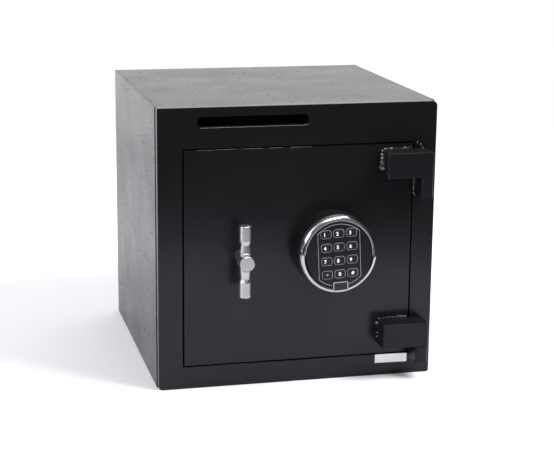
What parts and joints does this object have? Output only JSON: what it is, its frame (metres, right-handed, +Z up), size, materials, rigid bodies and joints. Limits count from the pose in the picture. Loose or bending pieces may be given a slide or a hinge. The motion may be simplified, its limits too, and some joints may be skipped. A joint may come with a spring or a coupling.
{
  "type": "deposit safe",
  "caption": "Front-loading deposit safe: steel box with a letter slot over a flush hinged door, T-handle boltwork and a round electronic keypad.",
  "frame": {"origin": "centre of the cabinet's underside, on the surface that the safe stands on", "axes": "+Z up, -Y out of the front with the door and slot, +X towards the hinges, which is to the right of a person facing the safe"},
  "size_m": [0.3556, 0.4026, 0.3556],
  "materials": {
    "black_paint": "satin black enamel over fine orange peel",
    "bare_steel": "mill finish steel",
    "zinc_plate": "bright zinc plate",
    "chrome_ring": "polished chrome",
    "satin_chrome": "satin chrome",
    "brass": "machined brass",
    "black_plastic": "satin black moulding",
    "key_plastic": "matt dark grey key cap with a pale outline",
    "circuit_board": "green solder mask",
    "label_paper": "bare white label",
    "battery_can": "wrapped steel can",
    "lead_sheath": "black lead sheath"
  },
  "bodies": {
    "cabinet": {"side_plate_left": "black_paint", "side_plate_right": "black_paint", "roof_plate": "black_paint", "floor_plate": "black_paint", "back_plate": "black_paint", "front_frame": "black_paint", "chute_trough": "bare_steel", "chute_hood": "bare_steel", "door_stop_upper": "bare_steel", "door_stop_lower": "bare_steel", "hinge_knuckle_upper": "black_paint", "hinge_knuckle_lower": "black_paint", "hinge_pin_upper": "bare_steel", "hinge_pin_lower": "bare_steel", "serial_label": "label_paper"},
    "door": {"door_plate": "black_paint", "hinge_leaf_upper": "black_paint", "hinge_leaf_lower": "black_paint", "dead_bar": "bare_steel", "hard_plate": "bare_steel", "bolt_guide": "bare_steel", "tongue_keeper": "bare_steel", "handle_bushing": "brass", "lock_case": "zinc_plate", "lock_cover": "zinc_plate", "lock_screw_upper_left": "zinc_plate", "lock_screw_lower_left": "zinc_plate", "lock_screw_lower_right": "zinc_plate", "lock_solenoid": "battery_can", "lock_lead": "lead_sheath", "keypad_housing": "black_plastic", "keypad_bezel": "chrome_ring", "keypad_face": "black_plastic", "keypad_board": "circuit_board", "keypad_screw_left": "zinc_plate", "keypad_screw_right": "zinc_plate", "emblem_plate": "satin_chrome"},
    "handle": {"handle_tee": "satin_chrome", "handle_spindle": "zinc_plate", "crank_plate": "zinc_plate", "crank_nut": "zinc_plate"},
    "bolt_carriage": {"bolt_bar": "zinc_plate", "locking_bolt_lower": "zinc_plate", "locking_bolt_middle": "zinc_plate", "locking_bolt_upper": "zinc_plate"},
    "lock_bolt": {"lock_bolt": "brass"},
    "battery_drawer": {"battery_tray": "black_plastic", "battery": "battery_can"},
    "key_1": {"key_1": "key_plastic"},
    "key_2": {"key_2": "key_plastic"},
    "key_3": {"key_3": "key_plastic"},
    "key_4": {"key_4": "key_plastic"},
    "key_5": {"key_5": "key_plastic"},
    "key_6": {"key_6": "key_plastic"},
    "key_7": {"key_7": "key_plastic"},
    "key_8": {"key_8": "key_plastic"},
    "key_9": {"key_9": "key_plastic"},
    "key_star": {"key_star": "key_plastic"},
    "key_0": {"key_0": "key_plastic"},
    "key_hash": {"key_hash": "key_plastic"}
  },
  "joints": [
    {"name": "door_hinge", "type": "hinge", "parent": "cabinet", "child": "door", "pos_m": [0.15725, -0.19368, 0.17], "axis": [0, 0, 1], "range_deg": [0, 115]},
    {"name": "handle_turn", "type": "hinge", "parent": "door", "child": "handle", "pos_m": [-0.075, -0.1778, 0.17], "axis": [0, 1, 0], "range_deg": [0, 90]},
    {"name": "bolt_carriage_slide", "type": "slide", "parent": "door", "child": "bolt_carriage", "axis": [-1, 0, 0], "range_m": [0, 0.016]},
    {"name": "lock_bolt_slide", "type": "slide", "parent": "door", "child": "lock_bolt", "axis": [-1, 0, 0], "range_m": [0, 0.0127]},
    {"name": "battery_drawer_slide", "type": "slide", "parent": "door", "child": "battery_drawer", "axis": [0.0523, 0, -0.9986], "range_m": [0, 0.044]},
    {"name": "key_1_press", "type": "slide", "parent": "door", "child": "key_1", "axis": [0, 1, 0], "range_m": [0, 0.001], "stiffness_N_per_m": 250, "springref_m": -0.001},
    {"name": "key_2_press", "type": "slide", "parent": "door", "child": "key_2", "axis": [0, 1, 0], "range_m": [0, 0.001], "stiffness_N_per_m": 250, "springref_m": -0.001},
    {"name": "key_3_press", "type": "slide", "parent": "door", "child": "key_3", "axis": [0, 1, 0], "range_m": [0, 0.001], "stiffness_N_per_m": 250, "springref_m": -0.001},
    {"name": "key_4_press", "type": "slide", "parent": "door", "child": "key_4", "axis": [0, 1, 0], "range_m": [0, 0.001], "stiffness_N_per_m": 250, "springref_m": -0.001},
    {"name": "key_5_press", "type": "slide", "parent": "door", "child": "key_5", "axis": [0, 1, 0], "range_m": [0, 0.001], "stiffness_N_per_m": 250, "springref_m": -0.001},
    {"name": "key_6_press", "type": "slide", "parent": "door", "child": "key_6", "axis": [0, 1, 0], "range_m": [0, 0.001], "stiffness_N_per_m": 250, "springref_m": -0.001},
    {"name": "key_7_press", "type": "slide", "parent": "door", "child": "key_7", "axis": [0, 1, 0], "range_m": [0, 0.001], "stiffness_N_per_m": 250, "springref_m": -0.001},
    {"name": "key_8_press", "type": "slide", "parent": "door", "child": "key_8", "axis": [0, 1, 0], "range_m": [0, 0.001], "stiffness_N_per_m": 250, "springref_m": -0.001},
    {"name": "key_9_press", "type": "slide", "parent": "door", "child": "key_9", "axis": [0, 1, 0], "range_m": [0, 0.001], "stiffness_N_per_m": 250, "springref_m": -0.001},
    {"name": "key_star_press", "type": "slide", "parent": "door", "child": "key_star", "axis": [0, 1, 0], "range_m": [0, 0.001], "stiffness_N_per_m": 250, "springref_m": -0.001},
    {"name": "key_0_press", "type": "slide", "parent": "door", "child": "key_0", "axis": [0, 1, 0], "range_m": [0, 0.001], "stiffness_N_per_m": 250, "springref_m": -0.001},
    {"name": "key_hash_press", "type": "slide", "parent": "door", "child": "key_hash", "axis": [0, 1, 0], "range_m": [0, 0.001], "stiffness_N_per_m": 250, "springref_m": -0.001}
  ],
  "couplings": [
    {"joint": "bolt_carriage_slide", "follows": "handle_turn", "m_per_rad": 0.010185},
    {"joint": "lock_bolt_slide", "follows": "handle_turn", "m_per_rad": 0.008085}
  ]
}
